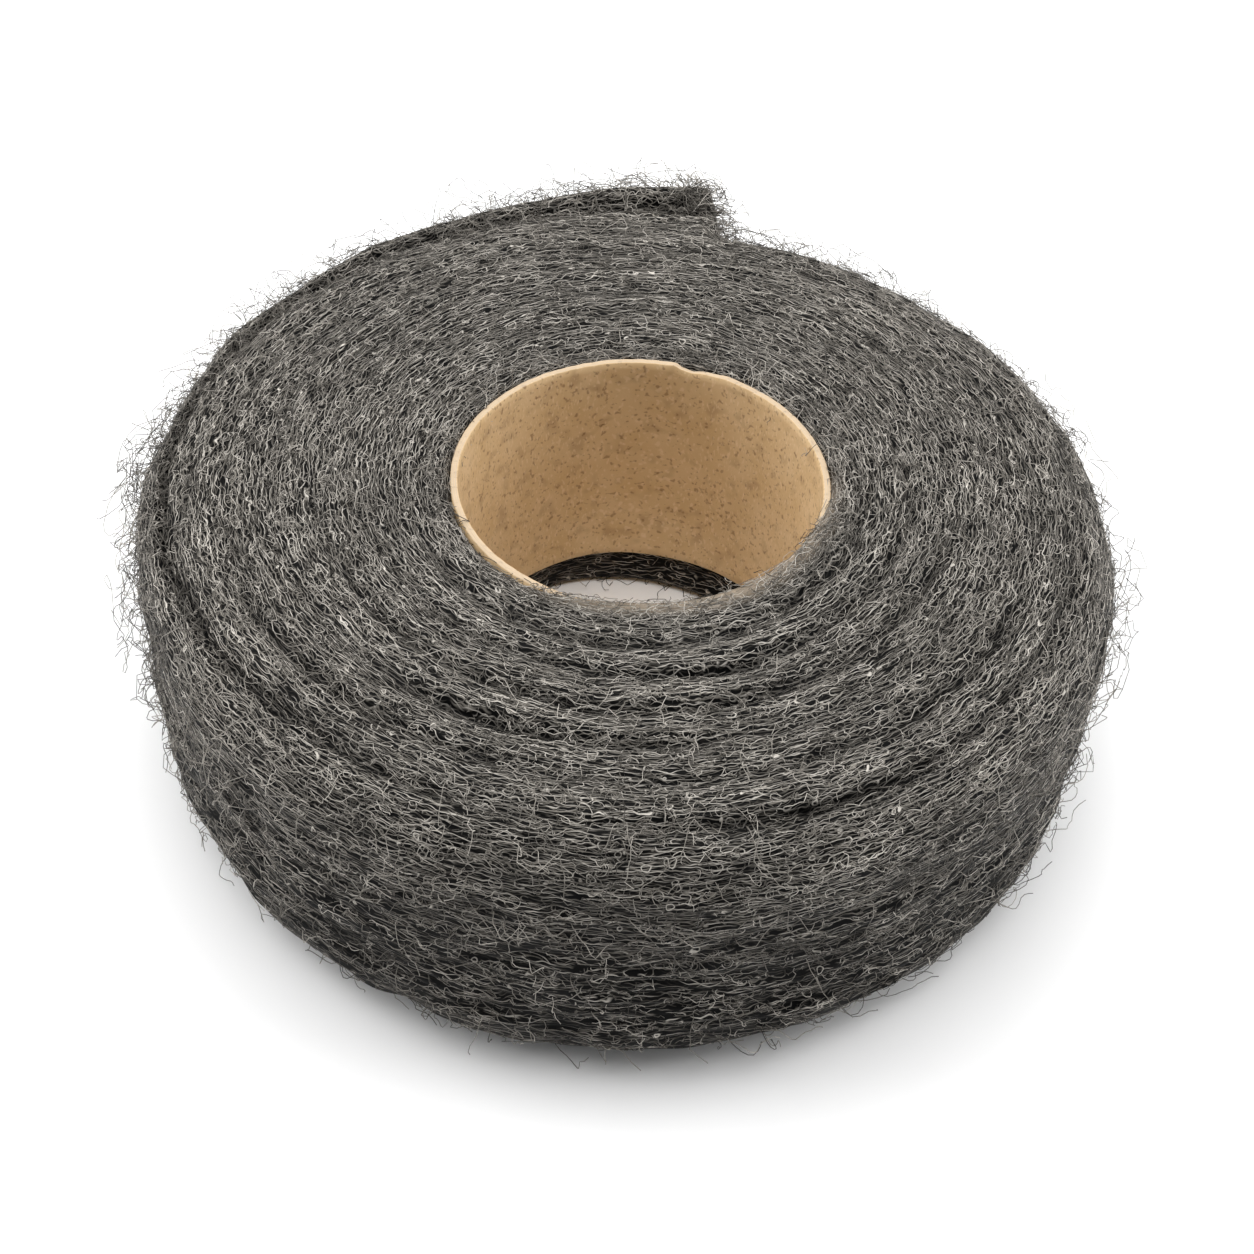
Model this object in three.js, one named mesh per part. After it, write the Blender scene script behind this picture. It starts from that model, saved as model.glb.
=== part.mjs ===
// A roll of steel wool: a felted band of fine steel fibres wound round a cardboard core.
// Millimetres, +Z up. The roll lies on one of its flat faces, with the core upright.
// The origin is in the plane of that face, at the centre of the roll's outline.

import * as THREE from "three";

// ---- Driving dimensions ----

const CORE_BORE_RADIUS = 38; // a 76 mm core, the common 3 inch size
const CORE_WALL = 1.5;
const CORE_BOTTOM = 9.5; // the wool hangs this far past the core's lower end
const CORE_LENGTH = 58.5;
const WINDING_GAP = 0.4; // between the core and the first turn

const OUTER_RADIUS = 106.5; // from the core's axis to the band's outer end
const TURN_PITCH = 9; // the thickness of the band, which each turn adds to the radius
const OUTER_END_ANGLE = THREE.MathUtils.degToRad(80); // where the band ends, seen from above
const END_FACE_ANGLE = THREE.MathUtils.degToRad(3); // taken up by the slope of the cut end

const ROLL_HEIGHT = 68;
const CROWN_HEIGHT = 2.5; // the middle turns stand this much prouder
const GROOVE_DEPTH = 1.8; // between one turn and the next
const UPPER_EDGE_RADIUS = 14;
const LOWER_EDGE_RADIUS = 16;
const BORE_EDGE_RADIUS = 3;

const END_LIFT = 4; // how far the loose end has slid up out of the roll
const END_SPRING = 1.5; // how far it stands off the turn under it
const LOOSE_ANGLE = THREE.MathUtils.degToRad(50); // the stretch that is working loose

// ---- How finely the surfaces are divided ----

const ROUND_STEPS = 80;
const CORE_STEPS = 96;
const TOP_STEPS = 20;
const UPPER_EDGE_STEPS = 9;
const LOWER_EDGE_STEPS = 5;
const BASE_STEPS = 2;

// ---- Values that follow from them ----

const FULL_TURN = 2 * Math.PI;
const CORE_RADIUS = CORE_BORE_RADIUS + CORE_WALL;
const WOOL_BORE_RADIUS = CORE_RADIUS + WINDING_GAP;
const LEAST_OUTER_RADIUS = OUTER_RADIUS - TURN_PITCH;
const TOP_FACE_RADIUS = LEAST_OUTER_RADIUS - UPPER_EDGE_RADIUS;
const BASE_RADIUS = LEAST_OUTER_RADIUS - LOWER_EDGE_RADIUS;

// ---- Materials ----

const steelWool = new THREE.MeshStandardMaterial({ color: 0x66625e, roughness: 0.6, metalness: 0.6 });
const cardboard = new THREE.MeshStandardMaterial({ color: 0xb8956a, roughness: 0.9, metalness: 0 });

// ---- The core: a plain tube ----

function coreGeometry() {
  const top = CORE_BOTTOM + CORE_LENGTH;
  const outline = [
    new THREE.Vector2(CORE_BORE_RADIUS, CORE_BOTTOM),
    new THREE.Vector2(CORE_RADIUS, CORE_BOTTOM),
    new THREE.Vector2(CORE_RADIUS, top),
    new THREE.Vector2(CORE_BORE_RADIUS, top),
    new THREE.Vector2(CORE_BORE_RADIUS, CORE_BOTTOM),
  ];
  return new THREE.LatheGeometry(outline, CORE_STEPS).rotateX(Math.PI / 2);
}

// ---- The wound wool: one solid ----

// How loose the band is at an angle unwound from its outer end: 1 at the end itself, 0 past the loose stretch.
function looseness(unwound) {
  return 1 - THREE.MathUtils.smoothstep(unwound, 0, LOOSE_ANGLE);
}

// The outline's radius, which falls by one pitch over a full turn.
function outlineRadius(unwound) {
  return OUTER_RADIUS - (TURN_PITCH * unwound) / FULL_TURN + END_SPRING * looseness(unwound);
}

// Height of the top face away from its outer edge: a low crown with a spiral groove between the turns.
function topHeight(radius, unwound) {
  const across = (radius - WOOL_BORE_RADIUS) / (LEAST_OUTER_RADIUS - WOOL_BORE_RADIUS);
  const crown = CROWN_HEIGHT * Math.sin(Math.PI * THREE.MathUtils.clamp(across, 0, 1));
  const turns = (OUTER_RADIUS - radius) / TURN_PITCH - unwound / FULL_TURN;
  const groove = GROOVE_DEPTH * Math.abs(Math.cos(Math.PI * turns)) ** 3;
  return ROLL_HEIGHT + crown - groove;
}

// How far the rounded outer edge falls below the top face at a distance in from the outline.
function edgeDrop(inward) {
  const across = 1 - Math.min(inward / UPPER_EDGE_RADIUS, 1);
  return UPPER_EDGE_RADIUS * (1 - Math.sqrt(1 - across * across));
}

// The stretch of the section from the top face over the rounded edge to the side, outermost point first.
function upperEdge(unwound) {
  const outline = outlineRadius(unwound);
  const points = [];
  for (let i = 0; i < UPPER_EDGE_STEPS; i++) {
    const share = Math.cos((i / UPPER_EDGE_STEPS) * (Math.PI / 2));
    const radius = THREE.MathUtils.lerp(TOP_FACE_RADIUS, outline, share);
    const lift = END_LIFT * looseness(unwound) * THREE.MathUtils.smoothstep(share, 0, 0.6);
    points.push([radius, topHeight(radius, unwound) - edgeDrop(outline - radius) + lift]);
  }
  return points;
}

// The closed section at one angle, as [radius, height] pairs: out along the base, up the side, in across
// the top and down the bore. Rings inside the last turn keep the same radius all the way round.
function section(unwound) {
  const outline = outlineRadius(unwound);
  const points = [[WOOL_BORE_RADIUS, BORE_EDGE_RADIUS]];
  for (let i = 0; i < BASE_STEPS; i++) {
    const share = i / BASE_STEPS;
    points.push([THREE.MathUtils.lerp(WOOL_BORE_RADIUS + BORE_EDGE_RADIUS, BASE_RADIUS, share), 0]);
  }
  for (let i = 0; i <= LOWER_EDGE_STEPS; i++) {
    const angle = (i / LOWER_EDGE_STEPS) * (Math.PI / 2);
    const radius = THREE.MathUtils.lerp(BASE_RADIUS, outline, Math.sin(angle));
    points.push([radius, LOWER_EDGE_RADIUS * (1 - Math.cos(angle))]);
  }
  points.push(...upperEdge(unwound));
  for (let i = 0; i <= TOP_STEPS; i++) {
    const radius = THREE.MathUtils.lerp(TOP_FACE_RADIUS, WOOL_BORE_RADIUS + BORE_EDGE_RADIUS, i / TOP_STEPS);
    points.push([radius, topHeight(radius, unwound)]);
  }
  points.push([WOOL_BORE_RADIUS, ROLL_HEIGHT - BORE_EDGE_RADIUS]);
  return points;
}

// Joins the sections round the axis. The faces between the last section and the first are the cut end.
function woolGeometry() {
  const sections = [];
  for (let i = 0; i < ROUND_STEPS; i++) {
    const unwound = (i / (ROUND_STEPS - 1)) * (FULL_TURN - END_FACE_ANGLE);
    const angle = OUTER_END_ANGLE + unwound;
    const place = ([r, z]) => new THREE.Vector3(r * Math.cos(angle), r * Math.sin(angle), z);
    sections.push(section(unwound).map(place));
  }
  const corners = [];
  sections.forEach((here, i) => {
    const next = sections[(i + 1) % ROUND_STEPS];
    here.forEach((corner, j) => {
      const k = (j + 1) % here.length;
      corners.push(corner, next[j], next[k]);
      corners.push(corner, next[k], here[k]);
    });
  });
  return new THREE.BufferGeometry().setFromPoints(corners);
}

// ---- The roll ----

function namedMesh(name, geometry, material) {
  const mesh = new THREE.Mesh(geometry, material);
  mesh.name = name;
  return mesh;
}

const roll = new THREE.Group();
roll.add(namedMesh("cardboard_core", coreGeometry(), cardboard));
roll.add(namedMesh("steel_wool", woolGeometry(), steelWool));

// A spiral outline isn't centred on the core, so the roll is moved to centre it on the origin.
const centre = new THREE.Box3().setFromObject(roll).getCenter(new THREE.Vector3());
roll.position.set(-centre.x, -centre.y, 0);

export default roll;
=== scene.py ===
"""The look of a steel wool roll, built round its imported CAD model.

A felted band of fine steel fibres is wound round a cardboard core. The band is a ridged solid
with the outline of the real winding. Thousands of separate curled fibres lie on it, and stray
ones stand out of it. The core is a tube of recycled chipboard with a torn upper edge.
Lengths are in metres, in the CAD model's frame: +Z is up and the roll lies on z = 0.
"""

import math

import bpy
import numpy as np
from bpy.props import FloatProperty, FloatVectorProperty, IntProperty, PointerProperty
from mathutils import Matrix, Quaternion, Vector


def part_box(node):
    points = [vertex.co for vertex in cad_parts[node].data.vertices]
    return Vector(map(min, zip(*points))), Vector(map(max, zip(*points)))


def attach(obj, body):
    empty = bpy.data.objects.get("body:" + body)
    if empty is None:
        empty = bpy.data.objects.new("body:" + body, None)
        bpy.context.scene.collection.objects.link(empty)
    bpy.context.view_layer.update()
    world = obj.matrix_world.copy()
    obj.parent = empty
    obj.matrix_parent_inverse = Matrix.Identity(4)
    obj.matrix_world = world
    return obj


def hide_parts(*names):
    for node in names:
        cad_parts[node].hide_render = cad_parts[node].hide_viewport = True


bl_info = {
    "name": "Steel Wool Roll",
    "version": (1, 0, 0),
    "blender": (4, 5, 0),
    "location": "3D View > Sidebar > Wool Roll",
    "description": "Builds a wound roll of steel wool on its cardboard core",
    "category": "Add Mesh",
}

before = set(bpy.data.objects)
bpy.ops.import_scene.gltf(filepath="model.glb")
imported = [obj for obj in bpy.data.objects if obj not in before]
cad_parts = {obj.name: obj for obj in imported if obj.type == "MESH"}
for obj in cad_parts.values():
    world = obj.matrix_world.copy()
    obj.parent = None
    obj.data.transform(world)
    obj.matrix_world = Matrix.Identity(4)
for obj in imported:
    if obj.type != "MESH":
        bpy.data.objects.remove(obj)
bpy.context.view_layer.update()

MM = 0.001
FULL_TURN = 2 * math.pi
BODY = "root"
TRIANGLE_LIMIT = 200_000

CORE_LOW, CORE_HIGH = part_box("cardboard_core")
AXIS = (CORE_LOW + CORE_HIGH) / 2  # the core's axis, which the band is wound round
CORE_RADIUS = (CORE_HIGH.x - CORE_LOW.x) / 2


# ---- Settings ----


def length(name, description, default):
    return FloatProperty(name=name, description=description, default=default, unit="LENGTH", precision=5)


def angle_setting(name, description, degrees):
    default = math.radians(degrees)
    return FloatProperty(name=name, description=description, default=default, subtype="ANGLE")


def density_setting(name, default):
    return FloatProperty(name=name, description="Fibres per square metre", default=default)


def colour(name, description, default):
    return FloatVectorProperty(
        name=name, description=description, default=linear(default), subtype="COLOR", min=0, max=1
    )


def linear(hex_colour):
    """An sRGB hex colour, such as "8C8680", as linear red, green and blue."""
    channels = (int(hex_colour[i : i + 2], 16) / 255 for i in (0, 2, 4))
    return tuple(c / 12.92 if c <= 0.04045 else ((c + 0.055) / 1.055) ** 2.4 for c in channels)


class BandSettings(bpy.types.PropertyGroup):
    """Sizes and colours of the wound band."""

    outer_radius: length("Outer radius", "From the core's axis to the band's outer end", 106.5 * MM)
    turn_pitch: length("Turn pitch", "Thickness of the band, which each turn adds", 9 * MM)
    winding_gap: length("Winding gap", "Between the core and the first turn", 0.2 * MM)
    height: length("Height", "Of the top face at its edges", 68 * MM)
    crown: length("Crown", "How much prouder the middle turns stand", 2.5 * MM)
    upper_edge: length("Upper edge", "Radius of the rounded upper edge", 14 * MM)
    lower_edge: length("Lower edge", "Radius of the rounded lower edge", 16 * MM)
    bore_edge: length("Bore edge", "Radius of the edge round the core", 2.2 * MM)
    end_angle: angle_setting("End angle", "Where the band's outer end is, seen from above", 83.5)
    end_face: angle_setting("End face", "Angle taken up by the slope of the cut end", 4)
    loose_angle: angle_setting("Loose angle", "The stretch of band that is working loose", 50)
    end_lift: length("End lift", "How far the loose end has slid up out of the roll", 8 * MM)
    end_spring: length("End spring", "How far the loose end stands off the turn under it", 1.5 * MM)
    groove_depth: length("Groove depth", "Between one turn and the next", 1.9 * MM)
    slack_angle: angle_setting("Slack angle", "Where the turns have slumped furthest apart", 275)
    pinch_radius: length("Pinch radius", "How far out two turns are pinched together", 62 * MM)
    pinch_angle: angle_setting("Pinch angle", "Where they are", 289)
    ridge_angle: angle_setting("Ridge angle", "The stretch over which the outermost turn stands proud", 190)
    ridge_share: FloatProperty(
        name="Ridge share", description="Its rise, as a share of the end's", default=0.6, min=0, max=1
    )
    crease_depth: length("Crease depth", "Between the outermost turn and the next", 2.6 * MM)
    groove_wander: FloatProperty(
        name="Groove wander", description="How far grooves stray, in turns", default=0.5, min=0, max=1
    )
    lump_height: length("Lump height", "Of the soft lumps in the felt", 1.3 * MM)
    strand_height: length("Strand height", "Of the bunched strands along the winding", 1.1 * MM)
    lip_height: length("Lip height", "How far wool has swollen up beside the core", 1.3 * MM)
    lip_reach: length("Lip reach", "How far that wool reaches over the core's rim", 1.7 * MM)
    lip_angle: angle_setting("Lip angle", "The side on which wool has swollen over the core's rim", 300)
    dust_width: length("Dust width", "Of the pale fringe of wool along the core's rim", 5 * MM)
    dust_start: FloatProperty(
        name="Dust start", description="Cosine of its end's angle from the lip's middle", default=0.25
    )
    bulge: length("Bulge", "How far the wool bulges in under the core's lower end", 3 * MM)
    bulge_angle: angle_setting("Bulge angle", "The side on which it does", 30)
    dust_colour: colour("Dust colour", "Fine wool mixed with dust from the cardboard", "B5A591")
    # The gap and deep colours are painted shade and the bright colour is painted glints; the fibre colour is
    # the steel's own.
    gap_shade_colour: colour("Gap colour", "The dark depth between fibres", "060606")
    shaded_fibre_colour: colour("Deep colour", "Fibres lower in the felt", "36332F")
    fibre_colour: colour("Fibre colour", "Fibres near the surface", "89847C")
    glint_colour: colour("Bright colour", "Fibres that catch the light", "CFC9C0")
    seed: IntProperty(name="Seed", description="Of the felt's lumps and grooves", default=7)


class FibreSettings(bpy.types.PropertyGroup):
    """How the loose fibres are strewn over the band."""

    thickness: length("Thickness", "Across a fibre, drawn coarser than the real 0.06 mm", 0.155 * MM)
    fibre_length: length("Length", "Of one exposed stretch of fibre", 6.5 * MM)
    curl_length: length("Curl length", "Of a short hooked fibre", 3.6 * MM)
    curl_size: length("Curl size", "Along the fibre, from one bend to the next", 2.4 * MM)
    curl_width: length("Curl width", "How far a bend strays sideways", 1.5 * MM)
    top_density: density_setting("Top density", 70000)
    curl_density: density_setting("Curl density", 98000)
    edge_density: density_setting("Edge density", 88000)
    rim_density: density_setting("Rim density", 240000)
    lip_density: density_setting("Lip density", 280000)
    side_density: density_setting("Side density", 37000)
    under_density: density_setting("Under density", 12000)
    stray_density: density_setting("Stray density", 18000)
    end_density: density_setting("End density", 150000)
    stray_height: length("Stray height", "How far stray fibres stand out", 4 * MM)
    seed: IntProperty(name="Seed", description="Of every fibre's place and curl", default=11)


class CoreSettings(bpy.types.PropertyGroup):
    """Sizes and colours of the cardboard core."""

    wall: length("Wall", "Thickness of the tube's wall", 1.5 * MM)
    tear_depth: length("Tear depth", "How far the upper edge is torn down", 1.6 * MM)
    tear_angle: angle_setting("Tear angle", "Where the edge is torn", 73)
    board_colour: colour("Board colour", "Recycled chipboard", "C4A578")
    speck_colour: colour("Speck colour", "Dark bits in the pulp", "6B4B2C")
    pale_colour: colour("Pale colour", "Light fibres in the pulp", "DCC29C")
    cut_colour: colour("Cut colour", "The cut edge, rubbed pale and grey by the wool", "B5A48F")


class StageSettings(bpy.types.PropertyGroup):
    """The floor, the lights and the camera."""

    floor_colour: colour("Floor colour", "Pale studio floor", "F4F4F4")
    world_strength: FloatProperty(name="Surroundings", description="Light from all round", default=0.22)
    key_power: FloatProperty(name="Key power", description="Of the light overhead", default=20, unit="POWER")
    side_power: FloatProperty(name="Side power", description="Of each side light", default=10, unit="POWER")
    camera_height: length("Camera height", "Above the floor", 327 * MM)
    camera_distance: length("Camera distance", "In front of the core's axis", 296.4 * MM)
    aim_height: length("Aim height", "Of the point on the axis that the camera looks at", 22.9 * MM)
    aim_side: length("Aim side", "How far that point is to the right of the axis", -1.2 * MM)
    camera_roll: angle_setting("Camera roll", "Tilt of the camera", 3.1)
    lens: FloatProperty(name="Lens", description="Focal length in millimetres", default=54.2)


# ---- Nodes and meshes ----


MATH = "ShaderNodeMath"
VECTOR_MATH = "ShaderNodeVectorMath"
NOISE = "ShaderNodeTexNoise"
MAP_RANGE = "ShaderNodeMapRange"
MIX = "ShaderNodeMix"
ATTRIBUTE = "ShaderNodeAttribute"
NAMED_ATTRIBUTE = "GeometryNodeInputNamedAttribute"


def add(tree, kind, inputs=(), **settings):
    """Adds a node. settings are its own options. inputs lists values for its sockets in order, or maps
    a socket's name or number to one. A value is a constant, another node's output, or a node, which
    means that node's first output in use."""
    node = tree.nodes.new(kind)
    for name, value in settings.items():
        setattr(node, name, value)
    pairs = inputs.items() if isinstance(inputs, dict) else enumerate(inputs)
    for key, value in pairs:
        if isinstance(value, bpy.types.Node):
            value = next(output for output in value.outputs if output.enabled)
        if isinstance(value, bpy.types.NodeSocket):
            tree.links.new(value, node.inputs[key])
        else:
            node.inputs[key].default_value = value
    return node


def geometry_tree(name, inputs):
    """A Geometry Nodes tree with these named inputs, as {name: (socket type, default)}."""
    tree = bpy.data.node_groups.new(name, "GeometryNodeTree")
    tree.interface.new_socket("Geometry", in_out="INPUT", socket_type="NodeSocketGeometry")
    tree.interface.new_socket("Geometry", in_out="OUTPUT", socket_type="NodeSocketGeometry")
    for label, (kind, default) in inputs.items():
        socket = tree.interface.new_socket(label, in_out="INPUT", socket_type="NodeSocket" + kind)
        if default is not None:
            socket.default_value = default
    return tree, tree.nodes.new("NodeGroupInput"), tree.nodes.new("NodeGroupOutput")


def grow(piece, tree, values):
    """Runs the tree on the piece with these input values, and keeps the result as a plain mesh."""
    modifier = piece.modifiers.new(tree.name, "NODES")
    modifier.node_group = tree
    for item in tree.interface.items_tree:
        if item.item_type == "SOCKET" and item.in_out == "INPUT" and item.name in values:
            modifier[item.identifier] = values[item.name]
    bpy.context.view_layer.update()
    graph = bpy.context.evaluated_depsgraph_get()
    shown = piece.evaluated_get(graph)
    mesh = bpy.data.meshes.new_from_object(shown, preserve_all_data_layers=True, depsgraph=graph)
    piece.modifiers.remove(modifier)
    piece.data = mesh
    mesh.name = piece.name
    triangles = sum(len(face.vertices) - 2 for face in mesh.polygons)
    print(piece.name, triangles, "triangles")
    if not 0 < triangles < TRIANGLE_LIMIT:
        raise RuntimeError(f"{piece.name} has {triangles} triangles")


def new_piece(name, mesh):
    piece = bpy.data.objects.new(name, mesh)
    bpy.context.scene.collection.objects.link(piece)
    return piece


def finish_piece(piece, replaced=()):
    """Smooths the piece and tells the frame what it rides on and stands for."""
    piece.data.shade_smooth()
    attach(piece, BODY)
    if replaced:
        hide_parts(*replaced)


def smooth(x):
    x = np.clip(x, 0, 1)
    return x * x * (3 - 2 * x)


def ring_mesh(name, radius, height, angle):
    """A closed mesh of rings round the core's axis, with a row for each ring and a column for each
    angle. The rings go out along the bottom, up the outside, in across the top and down the inside."""
    places = np.stack([AXIS.x + radius * np.cos(angle), AXIS.y + radius * np.sin(angle), height], axis=-1)
    rings, columns = radius.shape
    ring, column = np.meshgrid(np.arange(rings), np.arange(columns), indexing="ij")
    next_ring, next_column = (ring + 1) % rings, (column + 1) % columns
    here, beside = ring * columns + column, ring * columns + next_column
    above, opposite = next_ring * columns + column, next_ring * columns + next_column
    faces = np.stack([here, beside, opposite, above], axis=-1).reshape(-1, 4)
    mesh = bpy.data.meshes.new(name)
    mesh.from_pydata(places.reshape(-1, 3).tolist(), [], faces.tolist())
    return mesh


def store(mesh, name, values):
    mesh.attributes.new(name, "FLOAT", "POINT").data.foreach_set("value", values.ravel().astype(np.float32))


def wrapped(angle):
    """The same angle between minus and plus half a turn."""
    return np.angle(np.exp(1j * angle))


def bell(distance, width):
    """1 at no distance, falling to about a third at one width."""
    return np.exp(-((distance / width) ** 2))


# ---- The wound band ----

ROUND_STEPS = 480
BASE_RINGS = 6
LOWER_EDGE_RINGS = 13
SIDE_RINGS = 50
UPPER_EDGE_RINGS = 34
TOP_RINGS = 70
BORE_RINGS = 8
COME_AWAY_ANGLE = math.radians(60)  # the outermost turn comes away over this and a little more
STRAY_SIDE = math.radians(125)  # where the upper edge is fuzziest
GROOVE_SHARPNESS = 7.0  # the power that narrows a wave to a groove


def band_sections(band):
    """The band's closed sections, as arrays of radius and height with a row for each ring and a
    column for each angle. For each column it also gives the angle unwound from the band's outer
    end, how loose the band is there, from 0 to 1, and the outline's radius."""
    unwound = np.linspace(0, FULL_TURN, ROUND_STEPS, endpoint=False)
    end_slope = smooth((unwound - FULL_TURN + band.end_face) / band.end_face)
    loose = np.maximum(1 - smooth(unwound / band.loose_angle), end_slope)
    wound = unwound / FULL_TURN * (1 - end_slope)
    risen = np.maximum(loose, band.ridge_share * smooth(1 - unwound / band.ridge_angle))
    outline = band.outer_radius - band.turn_pitch * wound + band.end_spring * loose
    bore = CORE_RADIUS + band.winding_gap
    least = band.outer_radius - band.turn_pitch
    top_radius = least - band.upper_edge
    base_radius = least - band.lower_edge

    lip_width = 5 * MM
    toward_lip = np.cos(band.end_angle + unwound - band.lip_angle)
    lip = band.lip_height * smooth((toward_lip - 0.3) / 0.6)

    def top_height(radius):
        across = np.clip((radius - bore) / (least - bore), 0, 1)
        turns_in = (band.outer_radius - radius) / band.turn_pitch - wound
        crown = band.crown * np.sin(math.pi * across)
        step = band.end_lift * risen * smooth((0.78 - turns_in) / 0.5)
        swollen = lip * smooth(1 - (radius - bore - band.bore_edge) / lip_width)
        return band.height + crown + step + swollen

    rings = []
    for t in np.linspace(0, 1, BASE_RINGS, endpoint=False):
        rings.append((bore + band.bore_edge + (base_radius - bore - band.bore_edge) * t, 0 * loose))
    for a in np.linspace(0, math.pi / 2, LOWER_EDGE_RINGS, endpoint=False):
        radius = base_radius + (outline - base_radius) * math.sin(a)
        rings.append((radius, band.lower_edge * (1 - math.cos(a)) + 0 * loose))
    shoulder = top_height(outline) - band.upper_edge
    for t in np.linspace(0, 1, SIDE_RINGS, endpoint=False):
        rings.append((outline, band.lower_edge + (shoulder - band.lower_edge) * t))
    for a in np.linspace(0, math.pi / 2, UPPER_EDGE_RINGS, endpoint=False):
        radius = top_radius + (outline - top_radius) * math.cos(a)
        inward = 1 - np.minimum((outline - radius) / band.upper_edge, 1)
        drop = band.upper_edge * (1 - np.sqrt(1 - inward**2))
        rings.append((radius, top_height(radius) - drop))
    for t in np.linspace(0, 1, TOP_RINGS, endpoint=False):
        radius = top_radius + (bore + band.bore_edge - top_radius) * t + 0 * loose
        rings.append((radius, top_height(radius)))
    toward_bulge = np.cos(band.end_angle + unwound - band.bulge_angle)
    rings.extend(bore_rings(band, bore, lip, toward_bulge))
    radius = np.array([np.broadcast_to(r, loose.shape) for r, z in rings])
    height = np.array([np.broadcast_to(z, loose.shape) for r, z in rings])
    return radius, height, unwound, loose, outline


def bore_rings(band, bore, lip, toward_bulge):
    """The rounded upper edge of the bore, its wall, which bulges in below the core, and its
    rounded lower edge."""
    rings = []
    corner = bore + band.bore_edge
    over_rim = lip / band.lip_height
    bulge = band.bulge * smooth((toward_bulge + 0.2) / 1.1)
    for a in np.linspace(0, math.pi / 2, BORE_RINGS // 2):
        drop = band.bore_edge * (1 - math.cos(a)) * (1 - 0.75 * over_rim)
        reach = band.bore_edge * math.sin(a) + band.lip_reach * over_rim * math.sin(a) ** 2
        rings.append((corner - reach, band.height - drop + lip))
    rings.append((bore + 0 * lip, band.height - band.bore_edge - 1 * MM + 0 * lip))
    for t in np.linspace(0, 1, BORE_RINGS // 2, endpoint=False):
        drop = (CORE_LOW.z - band.bore_edge) * t
        rings.append((bore - bulge * smooth(t), CORE_LOW.z - drop + 0 * lip))
    for a in np.linspace(0, math.pi / 2, BORE_RINGS // 2, endpoint=False):
        radius = corner - (band.bore_edge + bulge) * math.cos(a)
        rings.append((radius, band.bore_edge * (1 - math.sin(a))))
    return rings


def band_mesh(band):
    """The band before its grooves are pressed in. Its attributes say, for each point: across, the
    distance round the section; turns, counted inwards from the outer end; grooved, how much the
    grooves show; crease, how deep the outermost one is; free, whether it is clear of the core; side,
    how far down the side it is. The rest are shares of fibres to grow: everywhere, on_top, loose at
    the frayed end, fuzzy on the upper edge, and dusted on the lip."""
    radius, height, unwound, loose, outline = band_sections(band)
    angle = band.end_angle + unwound
    mesh = ring_mesh("wound_wool", radius, height, angle)
    columns = radius.shape[1]
    middle = columns // 2
    steps = np.hypot(np.diff(radius[:, middle]), np.diff(height[:, middle]))
    across = np.concatenate([[0], np.cumsum(steps)])
    store(mesh, "across", np.repeat(across, columns))
    inward = outline - radius

    # The outermost turn is stretched thin where it comes away.
    stretched = 0.25 + 0.15 * smooth(unwound / math.radians(70))
    thinned = stretched * (1 - smooth(unwound / COME_AWAY_ANGLE - 1.6))
    turns = (band.outer_radius - radius) / band.turn_pitch - unwound / FULL_TURN
    turns = turns + thinned * (1 - smooth((turns - 1.2) / 0.8))
    store(mesh, "turns", turns)

    # The turns have slumped apart on one side, and the outermost turn has come away.
    on_edge = smooth(inward / (band.turn_pitch * 0.45))
    off_bore = smooth((radius - CORE_RADIUS - band.bore_edge * 0.5) / band.bore_edge)
    on_top = smooth(height / band.height * 4 - 2)
    slack = 0.22 + 0.78 * smooth((np.cos(angle - band.slack_angle) + 0.1) / 1.1)
    outermost = 1 - smooth(np.abs(turns - 1) / 0.5)
    come_away = 1 - smooth((unwound / COME_AWAY_ANGLE - 1.8) / 1.5)

    # Two turns are pinched together at one place.
    pinch_length, pinch_width = 14 * MM, 5 * MM
    from_pinch = ((radius * wrapped(angle - band.pinch_angle)) / pinch_length) ** 2
    pinch = np.exp(-from_pinch - ((radius - band.pinch_radius) / pinch_width) ** 2)
    shown = slack * (1 - outermost * come_away) + 1.5 * pinch
    store(mesh, "grooved", on_edge * off_bore * on_top * shown)

    crease_width, puff = 0.8 * MM, 0.8 * MM
    crease = bell((turns - 1) * band.turn_pitch, crease_width) * come_away
    puffed = puff * loose * smooth(1 - inward / (0.7 * band.turn_pitch))
    store(mesh, "crease", band.crease_depth * crease * on_top * (1 - 0.5 * loose) - puffed)
    store(mesh, "free", off_bore)
    side_low, side_high = 28 * MM, 66 * MM
    store(mesh, "side", 1 - smooth((height - side_low) / (side_high - side_low)))
    from_end = np.minimum(unwound, FULL_TURN - unwound)
    frayed = loose + 3 * bell(from_end, math.radians(3))
    store(mesh, "loose", frayed * smooth(1 - inward / (1.6 * band.turn_pitch)))

    # Most strays stand on the upper edge, where the outermost turn has come away.
    upper = bell(inward - 3 * MM, 5 * MM) * on_top
    toward_strays = smooth((np.cos(angle - STRAY_SIDE) + 0.2) / 0.9)
    store(mesh, "fuzzy", upper * (0.2 + 0.8 * toward_strays))
    store(mesh, "on_top", on_top)

    # Fine pale wool and paper dust gather where the wool laps over the core's rim. The wall of the
    # bore behind the core takes some of the share too.
    toward_lip = smooth((np.cos(angle - band.lip_angle) - band.dust_start) / 0.6)
    near_rim = 1 - smooth((radius - CORE_RADIUS + 1 * MM) / band.dust_width)
    store(mesh, "dusted", toward_lip * near_rim * on_top)
    store(mesh, "everywhere", np.ones_like(radius))
    return mesh


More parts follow.
